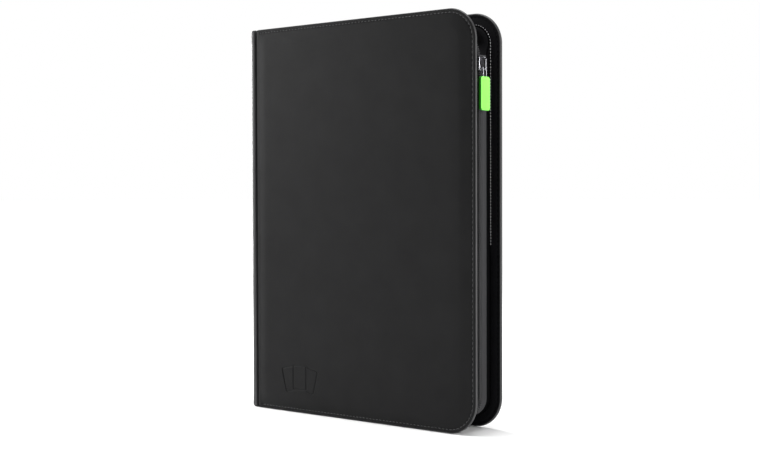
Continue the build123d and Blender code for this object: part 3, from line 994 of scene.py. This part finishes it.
POCKET_ROWS = 3
POCKET_COLUMNS = 3
POCKET_W = 66.5 * MM
POCKET_H = 92 * MM
POCKET_SEAMS = (2.2 * MM, 0.8 * MM, 1.0 * MM)
ROOT_MARGIN = 10 * MM
CORNER_CUT = 1.2 * MM
SHEET_T = 0.24 * MM
FILM_T = 0.1 * MM
FILM_RISE = 0.22 * MM
PANE_STEPS = (5, 6)


def pocket_pane(x0, x1, z0, z1, y, facing):
    """One clear pocket: a thin closed pane that bulges off its sheet."""
    nx, nz = PANE_STEPS
    up = nz + 1
    layer = (nx + 1) * up
    verts = []
    for offset in (0.0, FILM_T):
        for i, x in enumerate(np.linspace(x0, x1, nx + 1)):
            for j, z in enumerate(np.linspace(z0, z1, up)):
                bulge = math.sin(math.pi * i / nx) * math.sin(math.pi * j / nz)
                verts.append((x, y + facing * (offset + FILM_RISE * bulge), z))
    faces = []
    for i in range(nx):
        for j in range(nz):
            a = i * up + j
            quad = (a, a + up, a + up + 1, a + 1)
            faces.append(quad)
            faces.append(tuple(layer + k for k in quad))
    rim = [i * up for i in range(nx)] + [nx * up + j for j in range(nz)]
    rim += [i * up + nz for i in range(nx, 0, -1)] + list(range(nz, 0, -1))
    for a, b in zip(rim, rim[1:] + rim[:1]):
        faces.append((a, b, layer + b, layer + a))
    return verts, faces


def build_page(number):
    """One leaf: a flat sheet, with clear pockets on it."""
    node = f"page_{number:02d}"
    low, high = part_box(node)
    y = (low.y + high.y) / 2
    half_t = SHEET_T / 2
    root = low.x - 0.2 * MM
    soup = Soup()
    rings = []
    for x in (*np.linspace(root - 0.5 * MM, root + 4 * MM, 10), high.x - 3 * MM, high.x):
        cut = CORNER_CUT if x == high.x else 0.0
        bottom, top = low.z + cut, high.z - cut
        corners = ((-half_t, bottom), (half_t, bottom), (half_t, top), (-half_t, top))
        rings.append([(x, y + off, z) for off, z in corners])
    soup.add(*tube(rings))
    pockets_z = (low.z + high.z) / 2 - POCKET_ROWS * POCKET_H / 2
    root_seam, fore_seam, level_seam = POCKET_SEAMS
    for facing in (-1, 1):
        face = y + facing * (half_t + 0.01 * MM)
        for column in range(POCKET_COLUMNS):
            x = root + ROOT_MARGIN + column * POCKET_W
            for row in range(POCKET_ROWS):
                z = pockets_z + row * POCKET_H
                span_x = (x + root_seam, x + POCKET_W - fore_seam)
                span_z = (z + level_seam, z + POCKET_H - level_seam)
                soup.add(*pocket_pane(*span_x, *span_z, face, facing), 1)
    page = soup.piece(f"leaf_{number:02d}_pockets", [PAGE, FILM], smooth=False)
    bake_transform(page)
    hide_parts(node)


# ---- slider and pull

PLATE_T = 1.2 * MM
# (inset, depth) in millimetres, from the middle of a plate's face round its edge
PLATE_PROFILE = (
    (4.4, 0.0), (3.4, 0.0), (2.4, 0.0), (1.7, 0.0), (1.2, 0.01), (0.9, 0.06), (0.55, 0.16), (0.25, 0.34),
    (0.06, 0.6), (0.0, 0.85), (0.08, 1.08), (0.3, 1.2), (1.5, 1.2),
)
PLATE_RADII = (2.2 * MM, 3.6 * MM)
TAIL_SHARE = 0.78
OUTER_DOME, INNER_DOME = 0.3, 0.15
NECK_W = 1.6 * MM
NECK_LENGTH = 3.2 * MM
FLANGE_T = 0.7 * MM
FLANGE_Y = 3.72 * MM
FLANGE_ENDS = (0.8 * MM, 5.6 * MM)
BAND = 1.15 * MM
BRIDGE_R = 2.4 * MM
BRIDGE_FLARE = 1.25
BRIDGE_POWER = 0.7


def rounded_block(soup, low, high, bevel):
    """A small block whose edges are rounded, added to a soup."""
    rings = []
    for x, inset in (
        (low[0], bevel), (low[0] + 0.3 * bevel, 0.3 * bevel), (low[0] + bevel, 0),
        (high[0] - bevel, 0), (high[0] - 0.3 * bevel, 0.3 * bevel), (high[0], bevel),
    ):
        loop = rounded_loop(low[1:], high[1:], (bevel, bevel), inset, (1, 1, 4, 4))
        rings.append([(x, y, z) for y, z in loop])
    soup.add(*tube(rings))


def slider_plate(soup, outer_x, facing, dome):
    """A slider plate: round shoulders, a narrow tail and a dome in millimetres."""
    half_w = (SLIDER_HIGH.y - SLIDER_LOW.y) / 2
    low = (SLIDER_LOW.z, -half_w)
    high = (SLIDER_HIGH.z, half_w)
    length = high[0] - low[0]
    rings = []
    for inset, depth in PLATE_PROFILE:
        ring = []
        for z, y in rounded_loop(low, high, PLATE_RADII, inset * MM, (8, 6, 8, 8)):
            along = (z - low[0]) / length
            narrowing = TAIL_SHARE + (1 - TAIL_SHARE) * float(smooth_step(along, 0.05, 0.62))
            raised = dome * float(smooth_step(inset, 0.9, 3.2)) if depth < 0.01 else 0.0
            ring.append((outer_x + facing * (raised - depth) * MM, y * narrowing, z))
        rings.append(ring)
    soup.add(*tube(rings))


def build_slider():
    """The slider's two plates, neck and flanges."""
    outer_x, inner_x = SLIDER_HIGH.x, SLIDER_LOW.x
    soup = Soup()
    slider_plate(soup, outer_x, 1, OUTER_DOME)
    slider_plate(soup, inner_x, -1, INNER_DOME)
    neck_top = SLIDER_HIGH.z - 0.5 * MM
    low = (inner_x + 0.5 * PLATE_T, -NECK_W / 2, neck_top - NECK_LENGTH)
    high = (outer_x - 0.5 * PLATE_T, NECK_W / 2, neck_top)
    rounded_block(soup, low, high, 0.7 * MM)
    foot = SEAM_X + TAPE_HALF_T + 0.5 * MM
    for side, foot_x in ((1, foot), (-1, outer_x - PLATE_T - 0.35 * MM)):
        flange_y = side * FLANGE_Y
        low = (foot_x, flange_y - FLANGE_T / 2, SLIDER_LOW.z + FLANGE_ENDS[0])
        high = (outer_x - 0.5 * PLATE_T, flange_y + FLANGE_T / 2, SLIDER_LOW.z + FLANGE_ENDS[1])
        rounded_block(soup, low, high, 0.25 * MM)
    body = soup.piece("zip_slider_plates", [NICKEL])
    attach(body, "zip_slider")
    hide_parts("zip_slider_body")


def build_crown():
    """The arched band over the slider, with feet that flare into its plate."""
    low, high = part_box("zip_slider_bridge")
    bend = BRIDGE_R - BAND / 2
    route = [(low.x - 0.5 * MM, low.z + BAND / 2, 0.0)]
    for centre_z, first in ((low.z + BRIDGE_R, 0), (high.z - BRIDGE_R, 90)):
        for a in np.radians(np.linspace(first, first + 90, 9)):
            route.append((high.x - BRIDGE_R + bend * math.sin(a), centre_z - bend * math.cos(a), a))
    route.append((low.x - 0.5 * MM, high.z - BAND / 2, math.pi))
    turns = np.linspace(0, 2 * math.pi, 14, endpoint=False)
    outs = BAND / 2 * squared(np.cos(turns), BRIDGE_POWER)
    ys = (high.y - low.y) / 2 * squared(np.sin(turns), BRIDGE_POWER)
    rings = []
    for x, z, a in route:
        flare = BRIDGE_FLARE if x < low.x else 1.0
        rings.append([(x + out * math.sin(a), flare * y, z - out * math.cos(a)) for out, y in zip(outs, ys)])
    crown = new_piece("zip_slider_crown", *tube(rings), [NICKEL])
    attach(crown, "zip_slider")
    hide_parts("zip_slider_bridge")


# (inset, depth) in millimetres, from the tab's sunken field over its rim to its edge
TAB_PROFILE = (
    (2.6, 0.34), (1.9, 0.34), (1.65, 0.27), (1.45, 0.1), (1.25, 0.02),
    (0.9, 0.0), (0.5, 0.06), (0.22, 0.22), (0.05, 0.52), (0.0, 0.9),
)
TAB_RADII = (2.6 * MM, 2.6 * MM)


def tab_point(y, z, depth):
    """A point of the tab, at a depth under its outer face."""
    return (TAB_HIGH.x - depth, y, z)


def build_pull_tab():
    """The soft tab, with a raised rim round a sunken field on both faces."""
    half = in_metres(TAB_PROFILE)
    other = [(inset, TAB_HIGH.x - TAB_LOW.x - depth) for inset, depth in reversed(half)]
    tab = panel(
        "zip_pull_green_tab",
        tab_point,
        ((TAB_LOW.y, TAB_LOW.z), (TAB_HIGH.y, TAB_HIGH.z)),
        TAB_RADII,
        (16, 40, 10, 10),
        half + other,
        # the tab's edge takes the darker green: painted shade
        [RUBBER, RUBBER_EDGE_SHADE, RUBBER],
    )
    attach(tab, "zip_pull")
    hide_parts("zip_pull_tab")


# ---- carried-over nodes


def dress(node, material):
    """Give a CAD node that stays a finished material."""
    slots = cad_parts[node].data.materials
    slots.clear()
    slots.append(material)


def dress_nodes():
    for name in ("front_cover", "back_cover", "spine"):
        dress(f"{name}_padding", FOAM)
        dress(f"{name}_board", BOARD)
    dress("spine_lining", LINING)
    dress("page_binding_strip", LINING)
    dress("page_bound_margins", PAGE)
    dress("page_spacer_strips", PAGE)
    dress("zip_pull_link", NICKEL)


# ---- stage

AZIMUTH = math.radians(37.25)
ELEVATION = math.radians(1.46)
ROLL = math.radians(-0.19)
DISTANCE = 1.079
LENS = 57.8
AIM_OFFSET = Vector((6.8, 5.0, -4.4)) * MM
AMBIENT = 0.13
FLOOR_HALF = 30.0
FLOOR_DROP = 0.3 * MM
FLOOR_CORNERS = ((-1, -1), (1, -1), (1, 1), (-1, 1))
FLOOR_GREY = 0.92
# name, place, size and power of each soft lamp, which faces the binder's middle
LAMPS = (
    ("key", (-0.75, -0.42, 0.5), (0.5, 0.6), 5.6),
    ("rim", (1.15, 0.12, 0.4), (0.35, 1.0), 11),
    ("spine", (-1.2, 0.3, 0.3), (0.4, 1.0), 24),
)


def build_camera():
    """The camera at the photograph's viewing angle."""
    low, high = (Vector(corner) for corner in CAD_BOX)
    turn = Matrix.Rotation(AZIMUTH, 4, "Z") @ Matrix.Rotation(math.pi / 2 - ELEVATION, 4, "X")
    back = turn.to_3x3() @ Vector((0, 0, DISTANCE))
    data = bpy.data.cameras.new("camera")
    data.lens = LENS
    data.sensor_width = 36
    data.clip_end = 50
    camera = new_object("camera", data)
    place = Matrix.Translation((low + high) / 2 + AIM_OFFSET + back)
    camera.matrix_world = place @ turn @ Matrix.Rotation(ROLL, 4, "Z")
    bpy.context.scene.camera = camera


def new_lamp(name, kind, direction, power, place=(0, 0, 0)):
    """A lamp that shines along a direction."""
    data = bpy.data.lights.new(name, kind)
    data.energy = power
    turn = Vector(direction).to_track_quat("-Z", "Y").to_matrix().to_4x4()
    new_object(name, data).matrix_world = Matrix.Translation(place) @ turn
    return data


def build_stage():
    """A pale floor, white surroundings and soft studio lamps."""
    scene = bpy.context.scene
    scene.view_settings.view_transform = "Standard"
    world = bpy.data.worlds.new("studio")
    world.use_nodes = True
    tree = world.node_tree
    seen = add_node(tree, "LightPath", "Is Camera Ray")
    strength = add_node(tree, "MapRange", "Result", Value=seen, To_Min=AMBIENT, To_Max=1.0)
    fill_sockets(tree.nodes["Background"], Color=(1, 1, 1, 1), Strength=strength)
    scene.world = world

    nodes = Nodes("pale_floor", [FLOOR_GREY] * 3, 0.9)
    mottle = nodes.shades(nodes.noise(3, 2), [1, 1, 1], FLOOR_GREY - 0.01, FLOOR_GREY + 0.01)
    floor_material = nodes.finish(Base_Color=mottle)
    corners = [(x * FLOOR_HALF, y * FLOOR_HALF, -FLOOR_DROP) for x, y in FLOOR_CORNERS]
    floor = new_piece("floor", corners, [(0, 1, 2, 3)], [floor_material], smooth=False)

    overhead = new_lamp("overhead", "SUN", (0.05, 0.1, -1), 3.4)
    overhead.angle = math.radians(50)
    for name, place, size, power in LAMPS:
        lamp = new_lamp(name, "AREA", Vector((0, 0, HEIGHT / 2)) - Vector(place), power, place)
        lamp.shape = "RECTANGLE"
        lamp.size, lamp.size_y = size


build_camera()
build_stage()
for cover_name, cover_side in SIDES.items():
    build_cover(cover_name, cover_side)
    build_fold(cover_name, cover_side)
    build_tape(cover_name, cover_side)
    build_coil(cover_name, cover_side)
    build_stops(cover_name, cover_side)
    build_binding(cover_name, cover_side)
build_spine()
for leaf_number in range(1, LEAF_COUNT + 1):
    build_page(leaf_number)
build_slider()
build_crown()
build_pull_tab()
dress_nodes()
